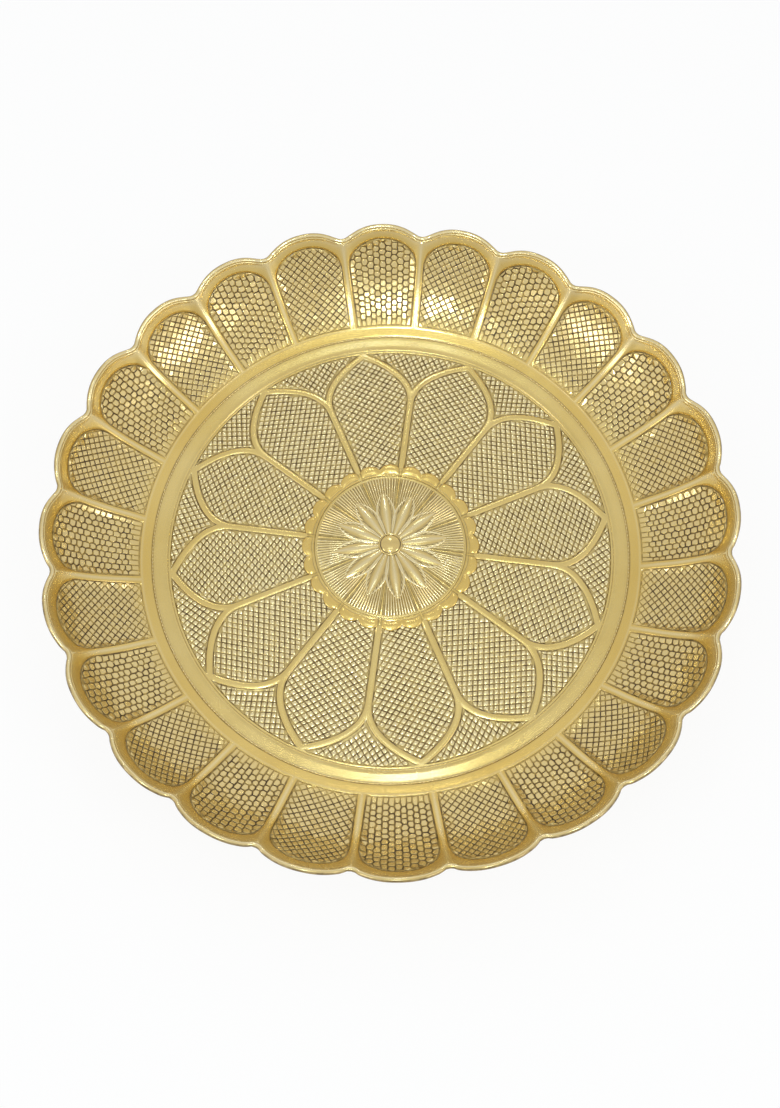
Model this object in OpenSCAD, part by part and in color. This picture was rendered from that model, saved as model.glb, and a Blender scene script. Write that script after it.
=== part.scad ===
// Scalloped brass thali plate: a pressed dish, the wire round its edge and the ring it stands on.
// The origin is at the centre of the foot ring's base, with +Z up. Lengths are in millimetres.

/* [Plate] */
// Diameter across opposite petal tips, over the edge bead
plate_d = 300; // [280:1:320]
// Thickness of the brass sheet
sheet_t = 1.2; // [0.8:0.1:1.6]

/* [Rim petals] */
// Number of petals round the rim
petals = 24; // [18:1:30]
// Angle of the first notch between two petals
petal_turn = 8.03; // [0:0.01:20]
// Rise from the outer edge of the smooth step to the petal tips
rim_rise = 31.5; // [26:0.5:36]
// Slope at which the petals leave the smooth step, in degrees
rim_slope = 21.4; // [12:0.2:28]
// How far the petal tips reach past the notches, along the slope
lobe_len = 5.3; // [3:0.1:7]
// Width of the smooth ribs between the petals
rib_w = 3.2; // [2:0.1:5]
// Height of the rib crests over the petals
rib_h = 1; // [0.4:0.1:1.6]
// Width of the soft flank on each side of a rib
rib_flank = 2.6; // [1.5:0.1:4]
// Length over which a rib rises out of the smooth step
rib_fade = 8; // [4:0.5:14]

/* [Rim panels] */
// Smooth border between a panel's round end and the edge of the sheet
border_w = 4.7; // [3:0.1:7]
// Length of a panel's round end
cap_len = 13.5; // [10:0.5:17]
// How deep the patterned panels lie below their borders
panel_sink = 0.4; // [0.2:0.05:0.5]
// Run of the small slope at a panel's edge
panel_wall = 0.4; // [0.2:0.05:0.6]
// Smooth margin between the step and the panels
panel_margin = 1.6; // [1.2:0.1:2.5]

/* [Smooth step] */
// Diameter of the flat well
well_d = 204.2; // [196:0.2:212]
// Width of the smooth band round the well
band_w = 6.3; // [5:0.1:9]
// Rise of the band from the well to the crease
band_rise = 2; // [1:0.1:3]
// Width of the step between the crease and the petals
step_w = 4.7; // [3:0.1:7]
// Height of the small kerb round the well
kerb_h = 0.45; // [0.2:0.05:0.8]
// Width of the small kerb round the well
kerb_w = 0.6; // [0.4:0.1:1]

/* [Well petals] */
// Number of petals in the well
well_petals = 12; // [12:1:14]
// Angle of the first petal in the well
well_turn = 6.6; // [0:0.1:30]
// Width of the smooth lines that outline the petals
line_w = 3.2; // [2:0.1:4]
// Depth of the patterned fields below these lines
field_sink = 0.5; // [0.2:0.05:0.6]
// Gap between the petal tips and the edge of the well, from the middle of the line
tip_gap = 1.9; // [1.8:0.1:4]
// Length of a petal's pointed end, from where the outlines fork to the tip
end_len = 26.2; // [22:0.2:30]
// Half the angle at a petal tip, in degrees
tip_angle = 60; // [50:1:70]
// How long an outline runs on before it turns
shoulder_len = 12.4; // [9:0.2:14]
// How long an outline runs straight at the tip
tip_len = 13.2; // [10:0.2:15]

/* [Medallion] */
// Diameter of the ribbed disc
disc_d = 70.2; // [66:0.2:74]
// Rise of the disc at its middle
disc_rise = 1.5; // [0.8:0.1:2.5]
// Number of scallops round the disc
scallops = 24; // [24:1:28]
// Diameter of one scallop
scallop_d = 9.6; // [9.4:0.1:10]
// Height of the scallops
scallop_h = 0.5; // [0.3:0.05:0.8]
// Width of the ledge round each scallop
scallop_ledge = 1; // [0.6:0.1:1.6]
// How far the fields run in between the scallops
field_run = 3; // [2:0.1:3.4]

/* [Flower] */
// Number of leaves of the flower
leaves = 12; // [10:1:12]
// Radius of the leaf tips
leaf_r = 24.5; // [20:0.1:28]
// Greatest width of a leaf
leaf_w = 6.8; // [4:0.1:7]
// Height of a leaf's ridge over the disc
leaf_h = 0.9; // [0.5:0.1:1.4]
// Diameter of the round hub
hub_d = 10.8; // [9:0.1:13]
// Height of the hub over the disc
hub_h = 1.2; // [0.8:0.1:2]

/* [Edge bead] */
// Diameter of the round wire on the edge
bead_d = 2.2; // [2:0.1:3]

/* [Foot ring] */
// Distance of the foot ring outside the edge of the well
foot_gap = 0.6; // [0.4:0.1:1.4]
// Height of the foot ring below the dish's floor
foot_h = 2.6; // [2:0.1:5]
// Width of the foot ring
foot_w = 2.6; // [2:0.1:3.6]
// Chamfer on the lower edges of the foot ring
foot_chamfer = 0.4; // [0.2:0.05:0.6]

/* [Hidden] */
$fn = 96;
brass = [0.78, 0.68, 0.38];
bright_brass = [0.86, 0.76, 0.45];
// Overrun of cuts and of pieces let into the sheet
over = 0.3;

// Diameters that follow from the well outwards
crease_d = well_d + 2 * band_w;
step_d = crease_d + 2 * step_w;
foot_d = well_d + 2 * foot_gap;

// Levels of the sheet's top face, from the ground up
floor_z = foot_h + sheet_t;
kerb_z = floor_z + kerb_h;
crease_z = kerb_z + band_rise;
step_z = crease_z + (step_d - crease_d) / 2 * tan(rim_slope);
band_slope = atan2(band_rise, (crease_d - well_d) / 2);

// The rim's section is one arc, drawn at mid sheet from the step to the petal tips
half_sheet = sheet_t / 2;
rim_start = [step_d / 2 + half_sheet * sin(rim_slope), step_z - half_sheet * cos(rim_slope)];
rim_run = plate_d / 2 - bead_d / 2 - rim_start[0];
rim_chord = atan2(rim_rise, rim_run);
bend_r = norm([rim_run, rim_rise]) / (2 * sin(rim_chord - rim_slope));
slant = bend_r * 2 * (rim_chord - rim_slope) * PI / 180;
function slope(v) = rim_slope + v / bend_r * 180 / PI;
function mid_r(v) = rim_start[0] + bend_r * (sin(slope(v)) - sin(rim_slope));
function mid_z(v) = rim_start[1] + bend_r * (cos(rim_slope) - cos(slope(v)));
function smooth(x) = let (y = min(1, max(0, x))) y * y * (3 - 2 * y);

// A petal is laid out flat: u across it from its middle, v along the slope from the step
half_pitch = 180 / petals;
function side(v) = mid_r(v) * half_pitch * PI / 180;
function rib(u, v) =
    rib_h * smooth(v / rib_fade) * (1 - smooth((side(v) - abs(u)) / (rib_w / 2 + rib_flank)));
// A point of petal k at the given height over mid sheet
function on_rim(k, p, height) = let (
    a = petal_turn + half_pitch * (2 * k + 1) + p[0] / mid_r(p[1]) * 180 / PI,
    lift = height + rib(p[0], p[1]),
    r = mid_r(p[1]) - lift * sin(slope(p[1]))
) [r * cos(a), r * sin(a), mid_z(p[1]) + lift * cos(slope(p[1]))];

// The panel: straight sides along the ribs and a half ellipse at its outer end
bead_r = bead_d / 2;
seat = sqrt(bead_r * bead_r - half_sheet * half_sheet);
panel_v0 = panel_margin;
cap_v = slant - seat - border_w - cap_len;
cap_share = 0.7;
cap_corner = 50;
function panel_half(v, inset) = side(v) - rib_w / 2 - inset;
function cap_point(a, inset) = let (v = cap_v + (cap_len - inset) * sin(a))
    [panel_half(v, inset) * cos(a), v];
function panel_side(t, inset) =
    t < cap_share
    ? let (v = panel_v0 + inset + (cap_v - panel_v0 - inset) * t / cap_share)
        [-panel_half(v, inset), v]
    : cap_point(180 - (t - cap_share) / (1 - cap_share) * cap_corner, inset);
function panel_end(s, inset) = cap_point(180 - cap_corner - s * (180 - 2 * cap_corner), inset);
function panel_start(s, inset) = let (v = panel_v0 + inset) [(2 * s - 1) * panel_half(v, inset), v];
function flip(p) = [-p[0], p[1]];
// A place inside the panel, blended from its four sides
function panel_inside(s, t, inset) = let (
    left = panel_side(t, inset),
    right = flip(left),
    low = panel_start(s, inset),
    high = panel_end(s, inset),
    c00 = panel_start(0, inset),
    c01 = panel_end(0, inset)
)
    (1 - s) * left + s * right + (1 - t) * low + t * high
    - (1 - t) * ((1 - s) * c00 + s * flip(c00)) - t * ((1 - s) * c01 + s * flip(c01));

// The lobed edge of a petal, as shares of the half pitch and of the lobe's reach
lobe_flat_share = 0.72;
function edge_point(q) = let (
    v = slant - seat - lobe_len * (1 - smooth((1 - abs(q)) / lobe_flat_share))
) [q * side(v), v];

// Columns of one petal run from the rib's middle over the panel to the next rib
edge_shares = [-1, -0.86, -0.7, -0.42, -0.14, 0.14, 0.42, 0.7, 0.86];
inner_shares = [0, 0.2, 0.4, 0.6, 0.8, 1];
outline_shares = [0, 0.04, 0.2, 0.4, 0.6, 0.8, 0.96, 1];
row_shares = [0, 0.35, 0.7, 0.85, 1];
outline_row_shares = [0, 0.03, 0.35, 0.7, 0.85, 0.95, 1];
columns = len(edge_shares);
tongue_in = -1.3 * sheet_t;
tongue_out = sheet_t / 5;
full_v = sheet_t / 2;

// Rows 0 to 2 leave the step, row 3 and row 9 are the panel's outline, row 11 is the edge
function plain_row(v) = let (w = panel_half(v, 0), n = panel_half(v, panel_wall))
    [[-side(v), v], [-w, v], for (s = inner_shares) [(2 * s - 1) * n, v], [w, v]];
function outline_row(i) = let (p = panel_side(outline_row_shares[i], 0))
    [[-side(p[1]), p[1]], p, for (s = inner_shares) [0, 0], flip(p)];
function panel_row(i) = let (line = outline_row(i + 1), t = row_shares[i])
    [line[0], line[1], for (s = inner_shares) panel_inside(s, t, panel_wall), line[columns - 1]];
function start_row() =
    [[-side(panel_v0), panel_v0], for (s = outline_shares) panel_start(s, 0)];
function end_row() = let (v = panel_end(0, 0)[1])
    [[-side(v), v], for (s = outline_shares) panel_end(s, 0)];
function edge_row() = [for (q = edge_shares) edge_point(q)];
rows = [
    plain_row(tongue_in), plain_row(tongue_out), plain_row(full_v), start_row(),
    for (i = [0 : 4]) panel_row(i),
    end_row(), (end_row() + edge_row()) / 2, edge_row()
];
last_row = len(rows) - 1;
// Height of each place of a row over mid sheet, on the top face
function top_height(i, c) =
    i < 2 ? half_sheet / 2
    : i >= 4 && i <= 8 && c >= 2 && c <= columns - 2 ? half_sheet - panel_sink
    : half_sheet;
function low_height(i) = i < 2 ? -half_sheet / 2 : -half_sheet;
low_rows = [0, 1, 2, 5, 7, 9, last_row];

// The rim as one closed skin: the top face outwards, then the underside back inwards
function rim_loop(k, c) = concat(
    [for (i = [0 : last_row]) on_rim(k, rows[i][c], top_height(i, c))],
    [for (j = [len(low_rows) - 1 : -1 : 0])
        let (i = low_rows[j]) on_rim(k, rows[i][c], low_height(i))]
);
// Faces between neighbouring loops of n points, m loops closed into a ring
function ring_faces(m, n) = [
    for (j = [0 : m - 1]) for (i = [0 : n - 1]) let (
        a = j * n + i,
        b = j * n + (i + 1) % n,
        c = (j + 1) % m * n + (i + 1) % n,
        d = (j + 1) % m * n + i
    ) each [[a, c, b], [a, d, c]]
];
module closed_ring(loops) {
    polyhedron(
        points = [for (loop = loops) each loop],
        faces = ring_faces(len(loops), len(loops[0])),
        convexity = 6
    );
}
module rim() {
    closed_ring([for (k = [0 : petals - 1]) for (c = [0 : columns - 1]) rim_loop(k, c)]);
}

// The flat floor, the disc's dome and the smooth step are one turned section
disc_r = disc_d / 2;
dome_r = (disc_r * disc_r + disc_rise * disc_rise) / (2 * disc_rise);
dome_steps = 8;
function dome_z(r) =
    r < disc_r ? floor_z + disc_rise - dome_r + sqrt(dome_r * dome_r - r * r) : floor_z;
function under(p, a) = p + sheet_t * [sin(a), -cos(a)];
module sheet() {
    dome = [for (i = [0 : dome_steps]) let (r = disc_r * i / dome_steps) [r, dome_z(r)]];
    kerb = [[well_d / 2 - kerb_w, floor_z], [well_d / 2, kerb_z]];
    crease = [crease_d / 2, crease_z];
    edge = [step_d / 2, step_z];
    rotate_extrude()
        polygon(concat(
            dome, kerb, [crease, edge],
            [under(edge, rim_slope), under(crease, (band_slope + rim_slope) / 2),
                under(kerb[1], band_slope), under(kerb[0], 0)],
            [for (i = [dome_steps : -1 : 0]) dome[i] - [0, sheet_t]]
        ));
}

// The outline of a petal in the well: a straight line, then a curve to the pointed tip
well_half = 180 / well_petals;
tip_r = well_d / 2 - tip_gap;
fork_r = tip_r - end_len;
outline_steps = 12;
// Least turn between the side of a corner field and its middle, in degrees
cusp_turn = 0.2;
fork = fork_r * [cos(well_half), sin(well_half)];
fork_way = shoulder_len * [cos(well_half), sin(well_half)];
tip = [tip_r, 0];
tip_way = tip_len * [-cos(tip_angle), sin(tip_angle)];
function curve(t) =
    pow(1 - t, 3) * fork + 3 * t * pow(1 - t, 2) * (fork + fork_way)
    + 3 * t * t * (1 - t) * (tip + tip_way) + pow(t, 3) * tip;
function heading(t) =
    pow(1 - t, 2) * fork_way + 2 * t * (1 - t) * (tip + tip_way - fork - fork_way)
    - t * t * tip_way;
function beside(t, d) = let (w = heading(t)) curve(t) + d * [-w[1], w[0]] / norm(w);
field_r = disc_r + scallop_d / 2 - field_run;
// The field inside a petal, and the field between two petals and the kerb
function petal_half() = let (
    d = line_w / 2,
    a = well_half - asin(d / field_r),
    all = [for (i = [0 : outline_steps]) beside(i / outline_steps, -d)]
) concat(
    [for (i = [0 : 2]) field_r * [cos(a * i / 2), sin(a * i / 2)]],
    [for (p = all) if (p[1] > line_w / 4) p]
);
function bearing(p) = atan2(p[1], p[0]);
function corner_half() = let (
    limit = well_d / 2 - kerb_w - line_w / 4,
    all = [for (i = [1 : outline_steps]) beside(i / outline_steps, line_w / 2)],
    inside = [for (p = all) if (norm(p) < limit - line_w / 8) p],
    kept = [for (p = inside) if (bearing(p) < well_half - cusp_turn) p],
    last = bearing(kept[len(kept) - 1])
) concat(
    [norm(kept[0]) * [cos(well_half), sin(well_half)]], kept,
    [for (i = [0 : 3]) let (a = last + (well_half - last) * i / 3) limit * [cos(a), sin(a)]]
);
module petal_field() {
    top = petal_half();
    polygon(concat(
        top, [[tip_r - line_w / 2 / sin(tip_angle), 0]],
        [for (i = [len(top) - 1 : -1 : 1]) [top[i][0], -top[i][1]]]
    ));
}
module corner_field() {
    near = corner_half();
    far = [for (p = near) let (a = 2 * well_half - bearing(p)) norm(p) * [cos(a), sin(a)]];
    polygon(concat(near, [for (i = [len(near) - 2 : -1 : 1]) far[i]]));
}
// Every field, from z upwards by h
module fields(z, h) {
    for (k = [0 : well_petals - 1])
        translate([0, 0, z])
            rotate([0, 0, well_turn + 2 * well_half * k])
                linear_extrude(h) {
                    petal_field();
                    corner_field();
                }
}

// Half-round scallops in two steps, on feet that close the inner ends of the fields
scallop_foot = field_sink + over / 2;
module scallop_step(inner_d, outer_d, low, high) {
    translate([0, 0, floor_z + low])
        linear_extrude(high - low)
            difference() {
                for (k = [0 : scallops - 1])
                    rotate([0, 0, well_turn + (k + 0.5) * 360 / scallops])
                        translate([disc_r, 0])
                            circle(d = outer_d);
                circle(d = inner_d);
            }
}
module scallop_ring() {
    scallop_step(disc_d - over, scallop_d, -scallop_foot, scallop_h / 2);
    scallop_step(disc_d + over, scallop_d - 2 * scallop_ledge, scallop_h / 4, scallop_h);
}

// One leaf of the flower: a ridge between two low edges, laid on the dome
leaf_stations = 7;
leaf_sides = 4;
leaf_start_share = 0.06;
leaf_tip_share = 0.15;
leaf_skew = 0.8;
leaf_root = hub_d / 3;
function leaf_share(t) = let (s = leaf_start_share + (1 - leaf_start_share) * t)
    max(leaf_tip_share, pow(max(0, sin(180 * pow(s, leaf_skew))), leaf_skew));
function leaf_loop(t) = let (
    r = leaf_root + (leaf_r - leaf_root) * t,
    w = leaf_w / 2 * leaf_share(t),
    top = dome_z(r) + leaf_h * leaf_share(t),
    low = dome_z(r) - over / 3
) [[r, w, low], [r, 0, top], [r, -w, low], [r, 0, low - over]];
module leaf() {
    n = leaf_sides;
    end = (leaf_stations - 1) * n;
    polyhedron(
        points = [for (i = [0 : leaf_stations - 1]) each leaf_loop(i / (leaf_stations - 1))],
        faces = concat(
            [for (j = [0 : leaf_stations - 2]) for (i = [0 : n - 1]) let (
                a = j * n + i,
                b = j * n + (i + 1) % n
            ) each [[a, b + n, b], [a, a + n, b + n]]],
            [[0, 1, 2], [0, 2, 3], [end, end + 2, end + 1], [end, end + 3, end + 2]]
        ),
        convexity = 4
    );
}
module hub() {
    hub_dome_r = (hub_d * hub_d / 4 + hub_h * hub_h) / (2 * hub_h);
    intersection() {
        translate([0, 0, dome_z(0) - over]) cylinder(d = hub_d, h = over + 2 * hub_h);
        translate([0, 0, dome_z(0) + hub_h - hub_dome_r]) sphere(r = hub_dome_r);
    }
}
module flower() {
    for (k = [0 : leaves - 1])
        rotate([0, 0, well_turn + k * 360 / leaves]) leaf();
    hub();
}

module dish() {
    color(brass) union() {
        difference() {
            union() {
                sheet();
                fields(floor_z - sheet_t - field_sink, field_sink + over);
            }
            fields(floor_z - field_sink, field_sink + over);
        }
        scallop_ring();
        flower();
        rim();
    }
}

// The wire follows the edge of the sheet, which meets a flat seat along its inner side
bead_sides = 8;
seat_angle = asin(half_sheet / bead_r);
function bead_loop(k, c) = let (
    p = edge_row()[c],
    a = petal_turn + half_pitch * (2 * k + 1) + p[0] / mid_r(p[1]) * 180 / PI,
    tilt = slope(p[1]),
    lift = rib(p[0], p[1]),
    r = mid_r(p[1]) - lift * sin(tilt) + seat * cos(tilt),
    z = mid_z(p[1]) + lift * cos(tilt) + seat * sin(tilt)
) concat(
    [on_rim(k, p, -half_sheet), on_rim(k, p, half_sheet)],
    [for (i = [1 : bead_sides - 2]) let (
        turn = 180 - seat_angle - i * (360 - 2 * seat_angle) / (bead_sides - 1),
        x = r + bead_r * (cos(turn) * cos(tilt) - sin(turn) * sin(tilt))
    ) [x * cos(a), x * sin(a), z + bead_r * (cos(turn) * sin(tilt) + sin(turn) * cos(tilt))]]
);
module edge_bead() {
    color(bright_brass)
        closed_ring([for (k = [0 : petals - 1]) for (c = [0 : columns - 1]) bead_loop(k, c)]);
}

// The foot ring is turned to the slope of the band that it is soldered under
function band_under(r) =
    under([well_d / 2, kerb_z], band_slope)[1]
    + (r - under([well_d / 2, kerb_z], band_slope)[0]) * tan(band_slope);
module foot_ring() {
    inner = foot_d / 2;
    outer = inner + foot_w;
    color(brass)
        rotate_extrude()
            polygon([
                [inner, band_under(inner)], [inner, foot_chamfer], [inner + foot_chamfer, 0],
                [outer - foot_chamfer, 0], [outer, foot_chamfer], [outer, band_under(outer)]
            ]);
}

dish();
edge_bead();
foot_ring();
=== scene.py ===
import math
import random

import bmesh
import bpy
from mathutils import Matrix, Vector


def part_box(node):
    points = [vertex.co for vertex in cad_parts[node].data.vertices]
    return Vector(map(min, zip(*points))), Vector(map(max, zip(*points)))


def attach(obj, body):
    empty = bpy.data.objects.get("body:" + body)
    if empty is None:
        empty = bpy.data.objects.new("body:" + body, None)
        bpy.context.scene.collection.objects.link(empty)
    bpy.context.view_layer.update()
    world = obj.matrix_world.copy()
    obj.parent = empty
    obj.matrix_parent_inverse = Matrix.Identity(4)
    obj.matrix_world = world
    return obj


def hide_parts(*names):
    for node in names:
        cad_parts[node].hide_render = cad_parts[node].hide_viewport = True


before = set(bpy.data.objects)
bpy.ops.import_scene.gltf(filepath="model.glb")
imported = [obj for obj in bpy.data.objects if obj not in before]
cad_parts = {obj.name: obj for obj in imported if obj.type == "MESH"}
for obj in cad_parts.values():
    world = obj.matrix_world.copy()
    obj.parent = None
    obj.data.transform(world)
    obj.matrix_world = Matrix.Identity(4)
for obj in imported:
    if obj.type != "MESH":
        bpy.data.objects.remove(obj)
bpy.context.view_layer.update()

# Petal rim: the outer part of the one pressed sheet, with 24 petals between raised ribs.
# Every other petal is cross-hatched and the ones between are pebbled, struck by the same
# die that raises the ribs; the sheet is brass, polished over grooves that stay dark.
mm = 0.001
plate_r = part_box("edge_bead")[1].x / mm
bead_r = 1.1
sheet_t = 1.2
half_sheet = sheet_t / 2
petals = 24
petal_pitch = math.tau / petals
first_notch = math.radians(8.03)
first_petal = first_notch + petal_pitch / 2
step_r = 113.1
step_z = 8.09

# The rim's section is one arc at mid sheet, from the step to the petal tips
rim_slope = math.radians(21.4)
rim_rise = 31.5
rim_start_r = step_r + half_sheet * math.sin(rim_slope)
rim_start_z = step_z - half_sheet * math.cos(rim_slope)
rim_run = plate_r - bead_r - rim_start_r
rim_chord = math.atan2(rim_rise, rim_run)
bend_r = math.hypot(rim_run, rim_rise) / (2 * math.sin(rim_chord - rim_slope))
slant = bend_r * 2 * (rim_chord - rim_slope)
seat = math.sqrt(bead_r ** 2 - half_sheet ** 2)

rib_w = 3.2
rib_h = 1.0
rib_flat = 0.9
rib_flank = 2.6
rib_fade = 8.0

lobe_len = 5.6
lobe_fall = 7.8
lobe_curve = 2.3
lobe_knee = 6

panel_margin = 0.5
border_w = 4.7
cap_len = 13.5
cap_v = slant - seat - border_w - cap_len


def smooth(x):
    y = min(1.0, max(0.0, x))
    return y * y * (3 - 2 * y)


def slope_at(v):
    return rim_slope + v / bend_r


def mid_r(v):
    return rim_start_r + bend_r * (math.sin(slope_at(v)) - math.sin(rim_slope))


def mid_z(v):
    return rim_start_z + bend_r * (math.cos(rim_slope) - math.cos(slope_at(v)))


def side(v):
    return mid_r(v) * petal_pitch / 2


def rib(x, v):
    flank = smooth((side(v) - abs(x) - rib_flat) / (rib_w / 2 + rib_flank - rib_flat))
    return rib_h * smooth(v / rib_fade) * (1 - flank)


# A petal is worked flat, x across it and y up the slope, and then laid on the rim
def on_rim(turn, x, v, height):
    angle = turn - x / mid_r(v)
    lift = height + rib(x, v)
    r = mid_r(v) - lift * math.sin(slope_at(v))
    z = mid_z(v) + lift * math.cos(slope_at(v))
    return Vector((r * math.cos(angle), r * math.sin(angle), z))


def panel_half(v):
    return side(v) - rib_w / 2


# The lobed edge falls away from its crest in a round curve and levels off in the notch
def lobe_v(q):
    drop = lobe_fall * abs(q) ** lobe_curve
    return slant - seat - drop / (1 + (drop / lobe_len) ** lobe_knee) ** (1 / lobe_knee)


# Points along the low edge, one side and half the round end, of a panel and of its petal
low_steps = 6
side_steps = 8
cap_steps = 15
corner_steps = 5
crest_steps = cap_steps - corner_steps
corner_reach = 1.6


def panel_outline(inset):
    low = panel_margin + inset
    half = [(i / low_steps * (panel_half(low) - inset), low) for i in range(low_steps + 1)]
    for i in range(1, side_steps + 1):
        v = low + (cap_v - low) * i / side_steps
        half.append((panel_half(v) - inset, v))
    for i in range(1, cap_steps + 1):
        turn = math.pi / 2 * i / cap_steps
        v = cap_v + (cap_len - inset) * math.sin(turn)
        half.append(((panel_half(v) - inset) * math.cos(turn), v))
    return half + [(-x, y) for x, y in reversed(half[1:-1])]


# Points of the petal's own edge, each facing the same point of the panel's outline
def petal_edge():
    reach = cap_v + corner_reach
    half = [(i / low_steps * side(0), 0.0) for i in range(low_steps + 1)]
    for i in range(1, side_steps + 1):
        v = reach * i / side_steps
        half.append((side(v), v))
    for i in range(1, corner_steps + 1):
        v = reach + (lobe_v(1) - reach) * i / corner_steps
        half.append((side(v), v))
    for i in range(crest_steps - 1, -1, -1):
        v = lobe_v(i / crest_steps)
        half.append((i / crest_steps * side(v), v))
    return half + [(-x, y) for x, y in reversed(half[1:-1])]


def between(inner, outer, share):
    return [
        (a[0] + (b[0] - a[0]) * share, a[1] + (b[1] - a[1]) * share)
        for a, b in zip(inner, outer)]


# While a piece is made, a face's material index tells the struck fields from the rest
plain_face = 0
field_face = 1


# A flat face with its corners numbered, so that rings can be grown round it
def blank(bm, outline, height):
    place = bm.verts.layers.int.new("place")
    tarnish_and_painted_light = bm.verts.layers.float.new("tarnish_and_painted_light")
    made = bmesh.ops.create_circle(bm, cap_ends=True, segments=len(outline), radius=1.0)
    for i, v in enumerate(sorted(made["verts"], key=lambda v: math.atan2(v.co.y, v.co.x))):
        v.co = (*outline[i], height)
        v[place] = i
        v[tarnish_and_painted_light] = 1.0
    face = bm.faces[:][0]
    face.normal_update()
    if face.normal.z < 0:
        face.normal_flip()
    face.material_index = field_face


# Each ring is an outline, a height and a darkness, from patina, 1, to wear and painted highlight,
# -1
def rings(bm, steps):
    place = bm.verts.layers.int["place"]
    tarnish_and_painted_light = bm.verts.layers.float["tarnish_and_painted_light"]
    for outline, height, dark in steps:
        edges = [e for e in bm.edges if e.is_boundary]
        for v in bmesh.ops.extrude_edge_only(bm, edges=edges)["geom"]:
            if isinstance(v, bmesh.types.BMVert):
                v.co = (*outline[v[place]], height)
                v[tarnish_and_painted_light] = dark
    for f in bm.faces:
        if len(f.verts) == 4:
            f.material_index = plain_face


def field(bm):
    return [f for f in bm.faces if f.material_index == field_face]


# Struck lines are straight cuts through the faces of the field
def cut(bm, faces, point, across):
    part = set(faces)
    for f in faces:
        part.update(f.edges)
        part.update(f.verts)
    bmesh.ops.bisect_plane(
        bm, geom=list(part), dist=1e-4, plane_co=(*point, 0), plane_no=(*across, 0))


# The lines are struck by hand in the die, so they stray a little from even
pitch_slip = 0.07
lean_slip = 0.006


def hatch(bm, middle, reach, lines, pitch, dice):
    for line in lines:
        count = int(reach / pitch)
        drift = dice.uniform(-1, 1)
        for i in range(-count, count + 1):
            step = i * pitch + drift + dice.gauss(0, pitch_slip)
            lean = line + dice.gauss(0, lean_slip)
            across = (-math.sin(lean), math.cos(lean))
            point = (middle[0] - math.sin(line) * step, middle[1] + math.cos(line) * step)
            cut(bm, field(bm), point, across)


# Each cell between the lines becomes a small flat pad with rolled shoulders, and no two
# pads lie quite level. Narrow cells get a smaller pad, and slivers are only lifted.
least_edge = 0.3
pad_sizes = (1.0, 0.7, 0.5)
pad_room = 0.44
pad_lean = 0.025
wall_dark = 0.9
sliver_lift = 0.28
sliver_dark = 0.4
border_lift = 0.14
border_dark = 0.75
round_shoulder = 0.3


def raise_pads(bm, rise, wall, shoulder, rubbed_and_highlight, dice):
    tarnish_and_painted_light = bm.verts.layers.float["tarnish_and_painted_light"]
    struck = {e for f in field(bm) for e in f.edges}
    bmesh.ops.dissolve_degenerate(bm, dist=least_edge, edges=list(struck))
    border = {
        v for f in field(bm) for v in f.verts
        if any(other.material_index == plain_face for other in v.link_faces)}
    groups = {size: [] for size in pad_sizes}
    slivers = []
    for f in field(bm):
        longest = max(e.calc_length() for e in f.edges)
        inner = f.calc_area() * min(2 / f.calc_perimeter(), 0.5 / longest)
        fitting = [size for size in pad_sizes if inner > (pad_room + shoulder) * size]
        if fitting:
            groups[fitting[0]].append(f)
        else:
            slivers.append(f)
    for v in {v for f in slivers for v in f.verts}:
        v.co.z += sliver_lift
        v[tarnish_and_painted_light] = sliver_dark
    # a wide shoulder takes more of the rise from the steep wall below it
    steep = 0.8 - shoulder / 3
    # pad walls hold dark patina, and pad tops are painted pale, as wear and as a painted highlight
    for size, pads in groups.items():
        for width, lift, dark in ((wall, steep, wall_dark), (shoulder, 1 - steep, -rubbed_and_highlight)):
            if pads:
                around = bmesh.ops.inset_individual(
                    bm, faces=pads, thickness=width * size, depth=rise * lift,
                    use_even_offset=False)
                for f in around["faces"]:
                    f.material_index = plain_face
            for v in {v for f in pads for v in f.verts}:
                v[tarnish_and_painted_light] = dark
        for f in pads:
            middle = f.calc_center_median()
            lean = (dice.gauss(0, pad_lean), dice.gauss(0, pad_lean))
            for v in f.verts:
                v.co.z += (v.co.x - middle.x) * lean[0] + (v.co.y - middle.y) * lean[1]
            if shoulder > round_shoulder:
                f.material_index = plain_face
    for v in border:
        v.co.z += border_lift
        v[tarnish_and_painted_light] = min(v[tarnish_and_painted_light], border_dark)


# Pebbles stand in columns up the petal, every other column half a pebble higher. Where a
# row ends on the wall of a column, the wall is drawn towards it, which gives six sides.
petal_middle = 20
pebble_w = 2.75
pebble_h = 3.05
pebble_start = 4.1
pebble_columns = 7
pebble_rows = 18
row_sway = 0.25
wall_draw = 0.42
wall_play = 0.12
row_play = 0.2
shift_play = 0.3


def pebbles(bm, dice):
    middle = side(petal_middle)
    shift = dice.uniform(-shift_play, shift_play)
    for v in bm.verts:
        v.co.x *= middle / side(v.co.y)
    for i in range(-pebble_columns, pebble_columns + 1):
        cut(bm, field(bm), ((i + 0.5) * pebble_w + shift, 0), (1, 0))
    for odd in (0, 1):
        for i in range(pebble_rows):
            sway = row_sway * math.sin(i * 1.7 + shift * 9)
            level = pebble_start + pebble_h * (i + 0.5 * odd) + sway
            column = [
                f for f in field(bm)
                if round((f.calc_center_median().x - shift) / pebble_w) % 2 == odd]
            cut(bm, column, (0, level), (0, 1))
    for v in bm.verts:
        line = (v.co.x - shift) / pebble_w - 0.5
        on_wall = abs(line - round(line)) < 0.01 and len(v.link_faces) == 3
        rows = [e for e in v.link_edges if abs(e.other_vert(v).co.y - v.co.y) < 0.05]
        if on_wall and len(rows) == 1:
            v.co.x += math.copysign(wall_draw, rows[0].other_vert(v).co.x - v.co.x)
            v.co.x += dice.uniform(-wall_play, wall_play)
            v.co.y += dice.uniform(-row_play, row_play)
    for v in bm.verts:
        v.co.x *= side(v.co.y) / middle


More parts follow.
